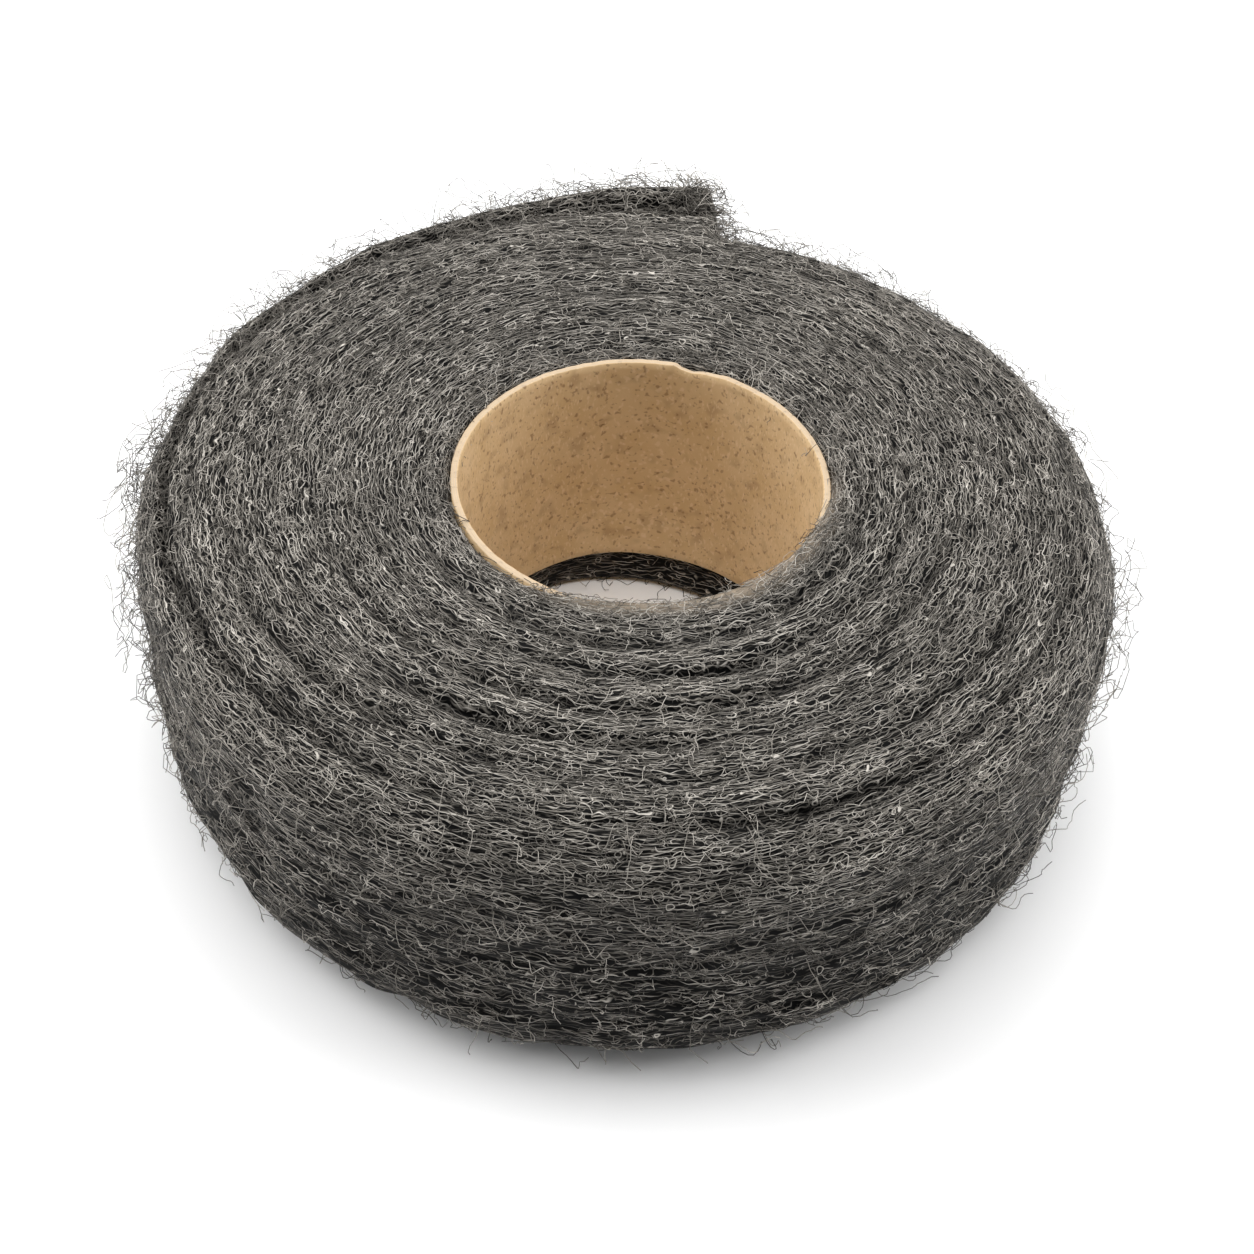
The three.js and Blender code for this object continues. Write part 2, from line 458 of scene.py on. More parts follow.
def felt_tree():
    """Presses the spiral grooves into the band and raises its lumps and bunched strands."""
    tree, given, result = geometry_tree(
        "Felted band",
        {
            "Turn Groove Depth": ("Float", 2 * MM),
            "Groove Wander": ("Float", 0.5),
            "Lump Height": ("Float", 1 * MM),
            "Strand Height": ("Float", 0.6 * MM),
            "Seed": ("Float", 1.0),
            "Material": ("Material", None),
        },
    )
    place = add(tree, "GeometryNodeInputPosition")
    stored = {}
    for name in ("turns", "grooved", "across", "crease", "side", "free"):
        stored[name] = add(tree, NAMED_ATTRIBUTE, {"Name": name}, data_type="FLOAT")
    xy = add(tree, VECTOR_MATH, [place, (1, 1, 0)], operation="MULTIPLY")

    # Each swing: how much it is drawn out along the winding, its scale, and its share of the seed.
    swings = {}
    for name, drawn_out, scale, seed_share in (
        ("wander", None, 16.0, 1.3),
        ("deepen", 9.0, 13.0, 2.1),
        ("lumps", 3.0, 48.0, 3.7),
        ("strands", 9.0, 55.0, 5.3),
    ):
        read_at = place
        if drawn_out:
            level = add(tree, MATH, [stored["across"], drawn_out], operation="MULTIPLY")
            upright = add(tree, "ShaderNodeCombineXYZ", {"Z": level})
            read_at = add(tree, VECTOR_MATH, [xy, upright], operation="ADD")
        seed = add(tree, MATH, [given.outputs["Seed"], seed_share], operation="MULTIPLY")
        settings = {"Vector": read_at, "W": seed, "Scale": scale, "Detail": 1.0}
        noise = add(tree, NOISE, settings, noise_dimensions="4D")
        swings[name] = add(tree, MATH, [noise, 0.5], operation="SUBTRACT")

    # A soft band never winds evenly: each groove strays, deepens and fades.
    wander = add(tree, MATH, [swings["wander"], given.outputs["Groove Wander"]], operation="MULTIPLY")
    strayed = add(tree, MATH, [stored["turns"], wander], operation="ADD")
    phase = add(tree, MATH, [strayed, math.pi], operation="MULTIPLY")
    ridge = add(tree, MATH, [phase], operation="COSINE")
    near_groove = add(tree, MATH, [ridge], operation="ABSOLUTE")
    groove = add(tree, MATH, [near_groove, GROOVE_SHARPNESS], operation="POWER")
    limits = {"From Min": -0.2, "From Max": 0.2, "To Min": 0.1, "To Max": 1.7}
    depth_share = add(tree, MAP_RANGE, {"Value": swings["deepen"], **limits})
    pressed = add(tree, MATH, [given.outputs["Turn Groove Depth"], depth_share], operation="MULTIPLY")
    groove_here = add(tree, MATH, [groove, stored["grooved"]], operation="MULTIPLY")
    grooves = add(tree, MATH, [pressed, groove_here], operation="MULTIPLY")
    depth = add(tree, MATH, [grooves, stored["crease"]], operation="ADD")

    # Strands are bolder down the side, and nothing is raised beside the core.
    side_share = add(tree, MATH, [stored["side"], 0.8], operation="MULTIPLY")
    bolder = add(tree, MATH, [side_share, 1.0], operation="ADD")
    raised = {}
    for name, height in (("lumps", "Lump Height"), ("strands", "Strand Height")):
        swing = add(tree, MATH, [swings[name], 2.0], operation="MULTIPLY")
        raised[name] = add(tree, MATH, [swing, given.outputs[height]], operation="MULTIPLY")
    bold_strands = add(tree, MATH, [raised["strands"], bolder], operation="MULTIPLY")
    felted = add(tree, MATH, [raised["lumps"], bold_strands], operation="ADD")
    bumps = add(tree, MATH, [felted, stored["free"]], operation="MULTIPLY")
    rise = add(tree, MATH, [bumps, depth], operation="SUBTRACT")

    normal = add(tree, "GeometryNodeInputNormal")
    move = add(tree, VECTOR_MATH, {0: normal, "Scale": rise}, operation="SCALE")
    relief = add(tree, MATH, [rise, bolder], operation="MULTIPLY")
    inputs = {"Geometry": given.outputs["Geometry"], "Name": "relief", "Value": relief}
    noted = add(tree, "GeometryNodeStoreNamedAttribute", inputs, data_type="FLOAT")
    moved = add(tree, "GeometryNodeSetPosition", {"Geometry": noted, "Offset": move})
    flat = add(tree, "GeometryNodeSetPosition", {"Geometry": moved, "Position": above_floor(tree, 0.5 * MM)})
    finish_tree(tree, given, result, flat)
    return tree


def finish_tree(tree, given, result, geometry):
    """Ends a tree: real geometry, in the given material."""
    solid = add(tree, "GeometryNodeRealizeInstances", {"Geometry": geometry})
    inputs = {"Geometry": solid, "Material": given.outputs["Material"]}
    coated = add(tree, "GeometryNodeSetMaterial", inputs)
    tree.links.new(coated.outputs[0], result.inputs[0])


def above_floor(tree, height):
    """The position, raised to at least this height."""
    place = add(tree, "GeometryNodeInputPosition")
    parts = add(tree, "ShaderNodeSeparateXYZ", [place])
    raised = add(tree, MATH, [parts.outputs["Z"], height], operation="MAXIMUM")
    return add(
        tree, "ShaderNodeCombineXYZ", {"X": parts.outputs["X"], "Y": parts.outputs["Y"], "Z": raised}
    )


# ---- The loose fibres ----

# How far up a surface faces: the height of its normal. The ends are past 1, to take in flat faces.
UP = 1.01
DOWN = -1.01
STEEP = 0.45  # between this and its opposite, a surface is the side
EVERY_WAY = 1.57  # radians either side of the winding, which is any direction


def fibre_tree():
    """Strews curled fibres over the surface it is given, and leaves only the fibres."""
    tree, given, result = geometry_tree(
        "Curled fibres",
        {
            "Density": ("Float", 1000.0),
            "Facing Up From": ("Float", -1.0),
            "Facing Up To": ("Float", 1.0),
            "Least Radius": ("Float", 0.0),
            "Most Radius": ("Float", 1.0),
            "Cling": ("Float", 1.0),
            "Where": ("String", "everywhere"),
            "Brightness": ("Float", 1.0),
            "Axis": ("Vector", (0, 0, 0)),
            "Length": ("Float", 13 * MM),
            "Points": ("Int", 14),
            "Curl Size": ("Float", 3 * MM),
            "Curl Width": ("Float", 2 * MM),
            "Lift": ("Float", 0.5 * MM),
            "Free Curl": ("Float", 0.0),
            "Spread": ("Float", 0.5),
            "Thickness": ("Float", 0.2 * MM),
            "Seed": ("Int", 1),
            "Material": ("Material", None),
        },
    )

    # Where fibres grow.
    surface = given.outputs["Geometry"]
    place = add(tree, "GeometryNodeInputPosition")
    normal = add(tree, "GeometryNodeInputNormal")
    facing = add(tree, "ShaderNodeSeparateXYZ", [normal]).outputs["Z"]
    from_middle = add(tree, VECTOR_MATH, [place, given.outputs["Axis"]], operation="SUBTRACT")
    outward = add(tree, VECTOR_MATH, [from_middle, (1, 1, 0)], operation="MULTIPLY")
    radius = add(tree, VECTOR_MATH, [outward], operation="LENGTH").outputs["Value"]
    growth = add(tree, NAMED_ATTRIBUTE, {"Name": given.outputs["Where"]}, data_type="FLOAT")
    for value, limit, operation in (
        (facing, "Facing Up From", "GREATER_THAN"),
        (facing, "Facing Up To", "LESS_THAN"),
        (radius, "Least Radius", "GREATER_THAN"),
        (radius, "Most Radius", "LESS_THAN"),
    ):
        within = add(tree, MATH, [value, given.outputs[limit]], operation=operation)
        growth = add(tree, MATH, [growth, within], operation="MULTIPLY")
    density_here = add(tree, MATH, [given.outputs["Density"], growth], operation="MULTIPLY")
    seed = given.outputs["Seed"]
    inputs = {"Mesh": surface, "Density": density_here, "Seed": seed}
    strewn = add(tree, "GeometryNodeDistributePointsOnFaces", inputs, distribute_method="RANDOM")
    inputs = {"Min": (0, 0, 0), "Max": (1, 1, 1), "Seed": seed}
    pick = add(tree, "FunctionNodeRandomValue", inputs, data_type="FLOAT_VECTOR")
    roots = strewn.outputs["Points"]
    for name, value in (("root", place), ("root_normal", strewn.outputs["Normal"]), ("pick", pick)):
        inputs = {"Geometry": roots, "Name": name, "Value": value}
        roots = add(tree, "GeometryNodeStoreNamedAttribute", inputs, data_type="FLOAT_VECTOR").outputs[0]

    # One straight fibre on each root, bent afterwards by its own numbers.
    line = add(tree, "GeometryNodeCurvePrimitiveLine", {"Start": (0, 0, 0), "End": (1, 0, 0)})
    stepped = add(tree, "GeometryNodeResampleCurve", {"Curve": line, "Count": given.outputs["Points"]})
    copies = add(tree, "GeometryNodeInstanceOnPoints", {"Points": roots, "Instance": stepped})
    straight = add(tree, "GeometryNodeRealizeInstances", {"Geometry": copies})
    root, root_normal, picks = (
        add(tree, NAMED_ATTRIBUTE, {"Name": name}, data_type="FLOAT_VECTOR")
        for name in ("root", "root_normal", "pick")
    )
    chance = add(tree, "ShaderNodeSeparateXYZ", [picks]).outputs

    # A fibre runs along the winding, or swings away from it: most a little, a few a lot.
    root_from_middle = add(tree, VECTOR_MATH, [root, given.outputs["Axis"]], operation="SUBTRACT")
    from_axis = add(tree, VECTOR_MATH, [root_from_middle, (1, 1, 0)], operation="MULTIPLY")
    around = add(tree, VECTOR_MATH, [(0, 0, 1), from_axis], operation="CROSS_PRODUCT")
    winding = add(tree, VECTOR_MATH, [around], operation="NORMALIZE")
    either_way = add(tree, MATH, [chance["X"], 2.0, -1.0], operation="MULTIPLY_ADD")
    how_far = add(tree, MATH, [either_way], operation="ABSOLUTE")
    swing = add(tree, MATH, [how_far, 2.0], operation="POWER")
    centred = add(tree, MATH, [chance["X"], 0.5], operation="SUBTRACT")
    side_sign = add(tree, MATH, [centred], operation="SIGN")
    signed = add(tree, MATH, [swing, side_sign], operation="MULTIPLY")
    turn = add(tree, MATH, [signed, given.outputs["Spread"]], operation="MULTIPLY")
    inputs = {"Vector": winding, "Axis": root_normal, "Angle": turn}
    ahead = add(tree, "ShaderNodeVectorRotate", inputs, rotation_type="AXIS_ANGLE")
    to_side = add(tree, VECTOR_MATH, [root_normal, ahead], operation="CROSS_PRODUCT")
    sideways = add(tree, VECTOR_MATH, [to_side], operation="NORMALIZE")
    part = add(tree, "GeometryNodeSplineParameter").outputs["Factor"]
    own_share = add(tree, MATH, [0.55, chance["Y"]], operation="ADD")
    own_length = add(tree, MATH, [given.outputs["Length"], own_share], operation="MULTIPLY")
    from_half = add(tree, MATH, [part, 0.5], operation="SUBTRACT")
    along = add(tree, MATH, [from_half, own_length], operation="MULTIPLY")

    # Curls come from noise read along the fibre, at a place of its own.
    bends = add(tree, MATH, [along, given.outputs["Curl Size"]], operation="DIVIDE")
    own_y = add(tree, MATH, [chance["Y"], 613.0], operation="MULTIPLY")
    own_z = add(tree, MATH, [chance["Z"], 917.0], operation="MULTIPLY")
    read_at = add(tree, "ShaderNodeCombineXYZ", [bends, own_y, own_z])
    noise = add(tree, NOISE, {"Vector": read_at, "Scale": 1.0, "Detail": 0.6})
    swayed = add(tree, VECTOR_MATH, [noise.outputs["Color"], (0.5, 0.5, 0.5)], operation="SUBTRACT")
    curl = add(tree, VECTOR_MATH, {0: swayed, "Scale": given.outputs["Curl Width"]}, operation="SCALE")
    widened = add(tree, VECTOR_MATH, {0: curl, "Scale": 4.0}, operation="SCALE")
    strays = add(tree, "ShaderNodeSeparateXYZ", [widened]).outputs
    distance = add(tree, MATH, [along, strays["X"]], operation="ADD")
    forward = add(tree, VECTOR_MATH, {0: ahead, "Scale": distance}, operation="SCALE")
    to_the_side = add(tree, VECTOR_MATH, {0: sideways, "Scale": strays["Y"]}, operation="SCALE")
    forward_place = add(tree, VECTOR_MATH, [root, forward], operation="ADD")
    bent = add(tree, VECTOR_MATH, [forward_place, to_the_side], operation="ADD")

    # The fibre then lies on the felt: its ends dip in and its middle rises.
    inputs = {"Geometry": surface, "Sample Position": bent}
    nearest = add(tree, "GeometryNodeProximity", inputs, target_element="FACES")
    inputs = {"Mesh": surface, "Value": add(tree, "GeometryNodeInputNormal"), "Sample Position": bent}
    up = add(tree, "GeometryNodeSampleNearestSurface", inputs, data_type="FLOAT_VECTOR")
    half_wave = add(tree, MATH, [part, math.pi], operation="MULTIPLY")
    hump = add(tree, MATH, [half_wave], operation="SINE")
    above_none = add(tree, MATH, [hump, 0.0], operation="MAXIMUM")
    rounded = add(tree, MATH, [above_none, 0.7], operation="POWER")
    free_end = add(tree, MATH, [chance["Z"], 0.6], operation="GREATER_THAN")
    one_sided = add(tree, MATH, [part, free_end], operation="MULTIPLY")
    arch = add(tree, MATH, [rounded, one_sided], operation="MAXIMUM")
    lift = add(tree, MATH, [arch, given.outputs["Lift"]], operation="MULTIPLY")
    height = add(tree, MATH, [lift, chance["Z"]], operation="MULTIPLY")
    dip = add(tree, MATH, [given.outputs["Thickness"], 0.3], operation="MULTIPLY")
    sunk = add(tree, MATH, [height, dip], operation="SUBTRACT")
    curled_up = add(tree, MATH, [arch, strays["Z"]], operation="MULTIPLY")
    loft = add(tree, MATH, [curled_up, given.outputs["Free Curl"]], operation="MULTIPLY")
    rise = add(tree, MATH, [sunk, loft], operation="ADD")
    inputs = {"Factor": given.outputs["Cling"], 4: bent, 5: nearest}
    clinging = add(tree, MIX, inputs, data_type="VECTOR")
    raised = add(tree, VECTOR_MATH, {0: up, "Scale": rise}, operation="SCALE")
    lifted = add(tree, VECTOR_MATH, [clinging, raised], operation="ADD")
    laid = add(tree, "GeometryNodeSetPosition", {"Geometry": straight, "Position": lifted})

    # A shaved fibre is roughly three-sided. Its own random share picks its painted shade or painted glint.
    many = add(tree, MATH, [chance["Z"], 7.13], operation="MULTIPLY")
    shuffled = add(tree, MATH, [many], operation="FRACT")
    glint_share = add(tree, MATH, [shuffled, given.outputs["Brightness"]], operation="MULTIPLY")
    inputs = {"Geometry": laid, "Name": "glint_share", "Value": glint_share}
    tinted = add(tree, "GeometryNodeStoreNamedAttribute", inputs, data_type="FLOAT")
    half_thickness = add(tree, MATH, [given.outputs["Thickness"], 0.5], operation="MULTIPLY")
    inputs = {"Resolution": 3, "Radius": half_thickness}
    section = add(tree, "GeometryNodeCurvePrimitiveCircle", inputs)
    extra = add(tree, MATH, [chance["Y"], 0.6], operation="MULTIPLY")
    width = add(tree, MATH, [0.7, extra], operation="ADD")
    sized = add(tree, "GeometryNodeSetCurveRadius", {"Curve": tinted, "Radius": width})
    inputs = {"Curve": sized, "Profile Curve": section, "Fill Caps": True}
    tubes = add(tree, "GeometryNodeCurveToMesh", inputs)
    kept = add(tree, "GeometryNodeSetPosition", {"Geometry": tubes, "Position": above_floor(tree, 0.1 * MM)})
    finish_tree(tree, given, result, kept)
    return tree


# ---- Materials ----


def new_material(name):
    material = bpy.data.materials.new(name)
    material.use_nodes = True
    tree = material.node_tree
    tree.nodes.clear()
    surface = add(tree, "ShaderNodeBsdfPrincipled")
    add(tree, "ShaderNodeOutputMaterial", {"Surface": surface})
    return material, tree, surface


def lay_threads(tree, below, share, thread_colour, rise):
    """Lays threads, where share is 1, over a pair of nodes for colour and height, and gives the new
    pair."""
    colour_below, height_below = below
    inputs = {"Factor": share, 6: colour_below, 7: (*thread_colour, 1)}
    laid = add(tree, MIX, inputs, data_type="RGBA")
    raised = add(tree, MATH, [share, rise], operation="MULTIPLY")
    if height_below is None:
        return laid, raised
    return laid, add(tree, MATH, [height_below, raised], operation="MAXIMUM")


def felted_steel(band):
    """Felted mild steel fibre, dull from its thin oil film. Between the loose fibres the eye sees
    a net of wavy threads along the winding, over dark gaps. The near-black gaps and the darker
    lower threads are painted shade, and the pale upper threads and rings are painted glints.
    Threads are drawn 0.22 to 0.3 mm wide, about four times the real width, so that they show.
    Dust from the cardboard pales the lip."""
    material, tree, surface = new_material("felted_mild_steel_fibre")
    coordinates = add(tree, "ShaderNodeTexCoord")
    across = add(tree, ATTRIBUTE, attribute_name="across")
    xy = add(tree, VECTOR_MATH, [coordinates.outputs["Object"], (1, 1, 0)], operation="MULTIPLY")
    # The ground under the threads is near-black painted shade: the depth between fibres.
    gaps = add(tree, "ShaderNodeRGB")
    gaps.outputs[0].default_value = (*band.gap_shade_colour, 1)
    felt = gaps, None
    # Each layer: thread spacing, how far threads stray, half a thread's width, colour, rise, offset.
    # The lowest layer is painted darker, as painted shade, and the top two are painted paler, as painted
    # glints.
    layers = (
        (0.65 * MM, 4.5 * MM, 0.15 * MM, band.shaded_fibre_colour, 0.2, (0.1, 0.3, 0.7)),
        (0.75 * MM, 5.0 * MM, 0.13 * MM, band.fibre_colour, 0.4, (3.1, 1.3, 2.7)),
        (0.85 * MM, 3.8 * MM, 0.13 * MM, band.fibre_colour, 0.6, (5.2, 4.3, 0.2)),
        (1.00 * MM, 3.9 * MM, 0.12 * MM, band.glint_colour, 0.8, (7.7, 2.9, 6.1)),
        (1.20 * MM, 3.4 * MM, 0.11 * MM, band.glint_colour, 1.0, (9.4, 8.8, 4.6)),
    )
    level = add(tree, "ShaderNodeCombineXYZ", {"Z": across.outputs["Fac"]})
    flat_place = add(tree, VECTOR_MATH, [xy, level], operation="ADD")
    # The side is more loosely felted and lit less than the top, so more of the dark depth shows there:
    # partly its own look, partly painted shade.
    side = add(tree, ATTRIBUTE, attribute_name="side")
    rarer = add(tree, MATH, [side.outputs["Fac"], -0.08], operation="MULTIPLY")
    for spacing, stray, half_width, colour_value, rise, offset in layers:
        moved = add(tree, VECTOR_MATH, [flat_place, offset], operation="ADD")
        sway = add(tree, NOISE, {"Vector": moved, "Scale": 150.0, "Detail": 2.0, "Roughness": 0.55})
        straight = add(tree, MATH, [across.outputs["Fac"], 1 / spacing], operation="MULTIPLY")
        count = add(
            tree,
            MATH,
            [sway.outputs["Fac"], stray / spacing, straight],
            operation="MULTIPLY_ADD",
        )
        off_thread = add(tree, MATH, [count, 0.5], operation="PINGPONG")
        thread = add(
            tree,
            MAP_RANGE,
            {"Value": off_thread, "From Min": 0.5 - half_width / spacing, "From Max": 0.47},
            interpolation_type="SMOOTHSTEP",
        )
        number = add(tree, MATH, [count], operation="FLOOR")
        own_level = add(tree, MATH, [number, 0.037], operation="MULTIPLY")
        own_height = add(tree, "ShaderNodeCombineXYZ", {"Z": own_level})
        own_place = add(tree, VECTOR_MATH, [xy, own_height], operation="ADD")
        dips = add(tree, NOISE, {"Vector": own_place, "Scale": 190.0, "Detail": 1.0})
        dipped = add(tree, MATH, [dips.outputs["Fac"], rarer], operation="ADD")
        shown = add(tree, MAP_RANGE, {"Value": dipped, "From Min": 0.43, "From Max": 0.55})
        share = add(tree, MATH, [thread.outputs[0], shown.outputs[0]], operation="MULTIPLY")
        felt = lay_threads(tree, felt, share, colour_value, rise)
    # Short hooked ends show as arcs of small rings, 2 to 3 mm across.
    warp = add(tree, NOISE, {"Vector": flat_place, "Scale": 400.0, "Detail": 1.0})
    swirl = add(
        tree,
        VECTOR_MATH,
        [warp.outputs["Color"], (1.6 * MM,) * 3, flat_place],
        operation="MULTIPLY_ADD",
    )
    patchy = add(tree, MATH, [warp.outputs["Fac"], rarer], operation="ADD")
    breaks = add(tree, MAP_RANGE, {"Value": patchy, "From Min": 0.44, "From Max": 0.52})
    # The paler rings are painted glints.
    for spacing, half_width, colour_value, rise, offset in (
        (2.3 * MM, 0.12 * MM, band.fibre_colour, 0.7, (0, 0, 0)),
        (2.9 * MM, 0.11 * MM, band.glint_colour, 0.9, (2.2, 5.1, 3.7)),
    ):
        shifted = add(tree, VECTOR_MATH, [swirl, offset], operation="ADD")
        rings = add(tree, "ShaderNodeTexVoronoi", {"Vector": shifted, "Scale": 1 / spacing})
        off_ring = add(tree, MATH, [rings.outputs["Distance"], 0.4], operation="SUBTRACT")
        distance = add(tree, MATH, [off_ring], operation="ABSOLUTE")
        ring = add(
            tree,
            MAP_RANGE,
            {"Value": distance, "From Min": half_width / spacing, "From Max": 0.01},
            interpolation_type="SMOOTHSTEP",
        )
        share = add(tree, MATH, [ring.outputs[0], breaks.outputs[0]], operation="MULTIPLY")
        felt = lay_threads(tree, felt, share, colour_value, rise)
    felt_colour, felt_height = felt
    bump = add(tree, "ShaderNodeBump", {"Height": felt_height, "Strength": 1.0, "Distance": 0.45 * MM})
    # Little light reaches the low places, and less reaches the side than the top.
    relief = add(tree, ATTRIBUTE, attribute_name="relief")
    depth_tone = add(
        tree,
        MAP_RANGE,
        {
            "Value": relief.outputs["Fac"],
            "From Min": -2.0 * MM,
            "From Max": 0.8 * MM,
            "To Min": 0.22,
            "To Max": 1.1,
        },
    )
    side_tone = add(tree, MAP_RANGE, {"Value": side.outputs["Fac"], "To Min": 1.0, "To Max": 0.82})
    tone = add(tree, MATH, [depth_tone, side_tone], operation="MULTIPLY")
    toned = add(tree, "ShaderNodeHueSaturation", {"Value": tone, "Color": felt_colour})
    dust = add(tree, ATTRIBUTE, attribute_name="dusted")
    settled = add(tree, MATH, [dust.outputs["Fac"], 0.6], operation="MULTIPLY")
    dusted = add(tree, MIX, {"Factor": settled, 6: toned, 7: (*band.dust_colour, 1)}, data_type="RGBA")
    tree.links.new(dusted.outputs[2], surface.inputs["Base Color"])
    tree.links.new(bump.outputs[0], surface.inputs["Normal"])
    surface.inputs["Roughness"].default_value = 0.6
    surface.inputs["Specular IOR Level"].default_value = 0.08
    return material


def shaved_steel(band):
    """Mild steel fibre as shaved from wire: bare metal with a dull, scratched surface. Each fibre's
    colour is painted from dark grey to a pale glint, as painted shade and painted glints."""
    material, tree, surface = new_material("shaved_mild_steel_fibre")
    glint_share = add(tree, ATTRIBUTE, attribute_name="glint_share")
    # The ramp paints each fibre from painted shade to a painted glint.
    ramp = add(tree, "ShaderNodeValToRGB", {"Fac": glint_share.outputs["Fac"]})
    ramp.color_ramp.elements[0].color = (*band.shaded_fibre_colour, 1)
    ramp.color_ramp.elements[1].color = (*band.glint_colour, 1)
    middle = ramp.color_ramp.elements.new(0.6)
    middle.color = (*band.fibre_colour, 1)
    coordinates = add(tree, "ShaderNodeTexCoord")
    scratches = add(tree, NOISE, {"Vector": coordinates.outputs["Object"], "Scale": 900.0, "Detail": 2.0})
    dull = add(tree, MAP_RANGE, {"Value": scratches.outputs["Fac"], "To Min": 0.3, "To Max": 0.6})
    tree.links.new(ramp.outputs["Color"], surface.inputs["Base Color"])
    tree.links.new(dull.outputs[0], surface.inputs["Roughness"])
    surface.inputs["Metallic"].default_value = 0.5
    return material


def chipboard(core):
    """Grey-tan recycled chipboard, pressed from pulp and wound in plies: matt and slightly warm,
    with dark specks under 1 mm across, short pale fibres, and soft cloudy patches."""
    material, tree, surface = new_material("recycled_chipboard")
    coordinates = add(tree, "ShaderNodeTexCoord").outputs["Object"]
    clouds = add(tree, NOISE, {"Vector": coordinates, "Scale": 110.0, "Detail": 4.0})
    cloudy = add(
        tree,
        MAP_RANGE,
        {"Value": clouds.outputs["Fac"], "From Min": 0.3, "From Max": 0.7, "To Min": 0.0, "To Max": 0.45},
    )
    tone = add(
        tree,
        MIX,
        {"Factor": cloudy, 6: (*core.board_colour, 1), 7: (*core.pale_colour, 1)},
        data_type="RGBA",
    )
    # Each kind of mark: its scale, its slant and stretch, where it starts and is full, colour, strength.
    for scale, slant, stretch, start, full, tone_to, strength in (
        (300.0, 0.0, 1.0, 0.56, 0.78, core.speck_colour, 0.28),
        (900.0, 0.3, 1.4, 0.66, 0.75, core.speck_colour, 0.55),
        (1300.0, -0.5, 1.6, 0.65, 0.74, core.speck_colour, 0.5),
        (1500.0, 0.7, 5.0, 0.64, 0.72, core.pale_colour, 0.5),
        (1900.0, -0.9, 6.0, 0.64, 0.72, core.pale_colour, 0.5),
    ):
        turned = add(
            tree,
            "ShaderNodeMapping",
            {
                "Vector": coordinates,
                "Rotation": (slant, slant * 0.8, slant * 1.3),
                "Scale": (1, stretch, 1),
                "Location": (slant, slant, slant),
            },
        )
        inputs = {"Vector": turned, "Scale": scale / stretch**0.5, "Detail": 0.5}
        grains = add(tree, NOISE, inputs)
        mark = add(
            tree,
            MAP_RANGE,
            {"Value": grains.outputs["Fac"], "From Min": start, "From Max": full, "To Max": strength},
        )
        tone = add(tree, MIX, {"Factor": mark, 6: tone, 7: (*tone_to, 1)}, data_type="RGBA")
    cut = add(tree, ATTRIBUTE, attribute_name="cut_edge")
    edged = add(
        tree,
        MIX,
        {"Factor": cut.outputs["Fac"], 6: tone, 7: (*core.cut_colour, 1)},
        data_type="RGBA",
    )
    pulp = add(tree, NOISE, {"Vector": coordinates, "Scale": 1200.0, "Detail": 3.0})
    bump = add(
        tree, "ShaderNodeBump", {"Height": pulp.outputs["Fac"], "Strength": 0.35, "Distance": 0.1 * MM}
    )
    tree.links.new(edged.outputs[2], surface.inputs["Base Color"])
    tree.links.new(bump.outputs[0], surface.inputs["Normal"])
    surface.inputs["Roughness"].default_value = 0.85
    return material


def studio_floor(stage):
    """Matt white seamless paper."""
    material, tree, surface = new_material("matt_white_paper")
    surface.inputs["Base Color"].default_value = (*stage.floor_colour, 1)
    surface.inputs["Roughness"].default_value = 0.9
    return material


# ---- The cardboard core ----

CORE_STEPS = 256
CORE_RINGS = 30
RIM_RINGS = 6
RIM_SEED = 5


def core_mesh(core):
    """A tube whose upper edge is torn in one place and whose cut ends are slightly uneven."""
    rng = np.random.default_rng(RIM_SEED)
    angle = np.linspace(0, FULL_TURN, CORE_STEPS, endpoint=False)

    def waves(size, slowest, fastest):
        """A closed wavy line of about this size."""
        line = np.zeros_like(angle)
        for count in range(slowest, fastest):
            line += np.sin(count * angle + rng.uniform(0, FULL_TURN)) * rng.uniform(0.3, 1)
        return line * size / math.sqrt(fastest - slowest)

    away = wrapped(angle - core.tear_angle)
    # The torn place drops steeply at one end and rises in ragged steps to the other.
    torn = np.interp(away, (-0.17, -0.12, -0.04, 0.02, 0.05, 0.11, 0.13), (0, 0.3, 0.5, 1, 0.85, 0.6, 0))
    tear = core.tear_depth * torn + waves(0.15 * MM, 40, 70) * (torn > 0.1)
    top = CORE_HIGH.z - 0.2 * MM + waves(0.12 * MM, 3, 14) + waves(0.07 * MM, 30, 80)
    bottom = CORE_LOW.z + 0.4 * MM + waves(0.3 * MM, 2, 9)
    outer = CORE_RADIUS + 0 * angle
    inner = CORE_RADIUS - core.wall + waves(0.06 * MM, 2, 7)
    # The inner plies stand a little higher than the outer ones where the edge is torn.
    rings = []
    for t in np.linspace(0, 1, CORE_RINGS):
        rings.append((inner, top - tear * 0.7 + (bottom - top + tear * 0.7) * t))
    for t in np.linspace(0, 1, RIM_RINGS + 2)[1:-1]:
        rings.append((inner + (outer - inner) * t, bottom - 0.15 * MM * math.sin(math.pi * t)))
    for t in np.linspace(0, 1, CORE_RINGS // 3):
        rings.append((outer, bottom + (top - tear - bottom) * t))
    for t in np.linspace(1, 0, RIM_RINGS + 2)[1:-1]:
        ply = 0.08 * MM * math.cos(6 * math.pi * t)
        low = tear * (0.7 + 0.3 * t) + ply
        rings.append((inner + (outer - inner) * t, top - low + 0.18 * MM * math.sin(math.pi * t)))
    radius = np.array([r for r, z in rings])
    height = np.array([z for r, z in rings])
    mesh = ring_mesh("cardboard_tube", radius, height, angle)
    on_rim = np.zeros_like(radius)
    on_rim[CORE_RINGS : CORE_RINGS + RIM_RINGS] = 0.6
    on_rim[-RIM_RINGS:] = np.resize((0.95, 0.45), (RIM_RINGS, 1))
    store(mesh, "cut_edge", on_rim)
    return mesh


# ---- Operators ----


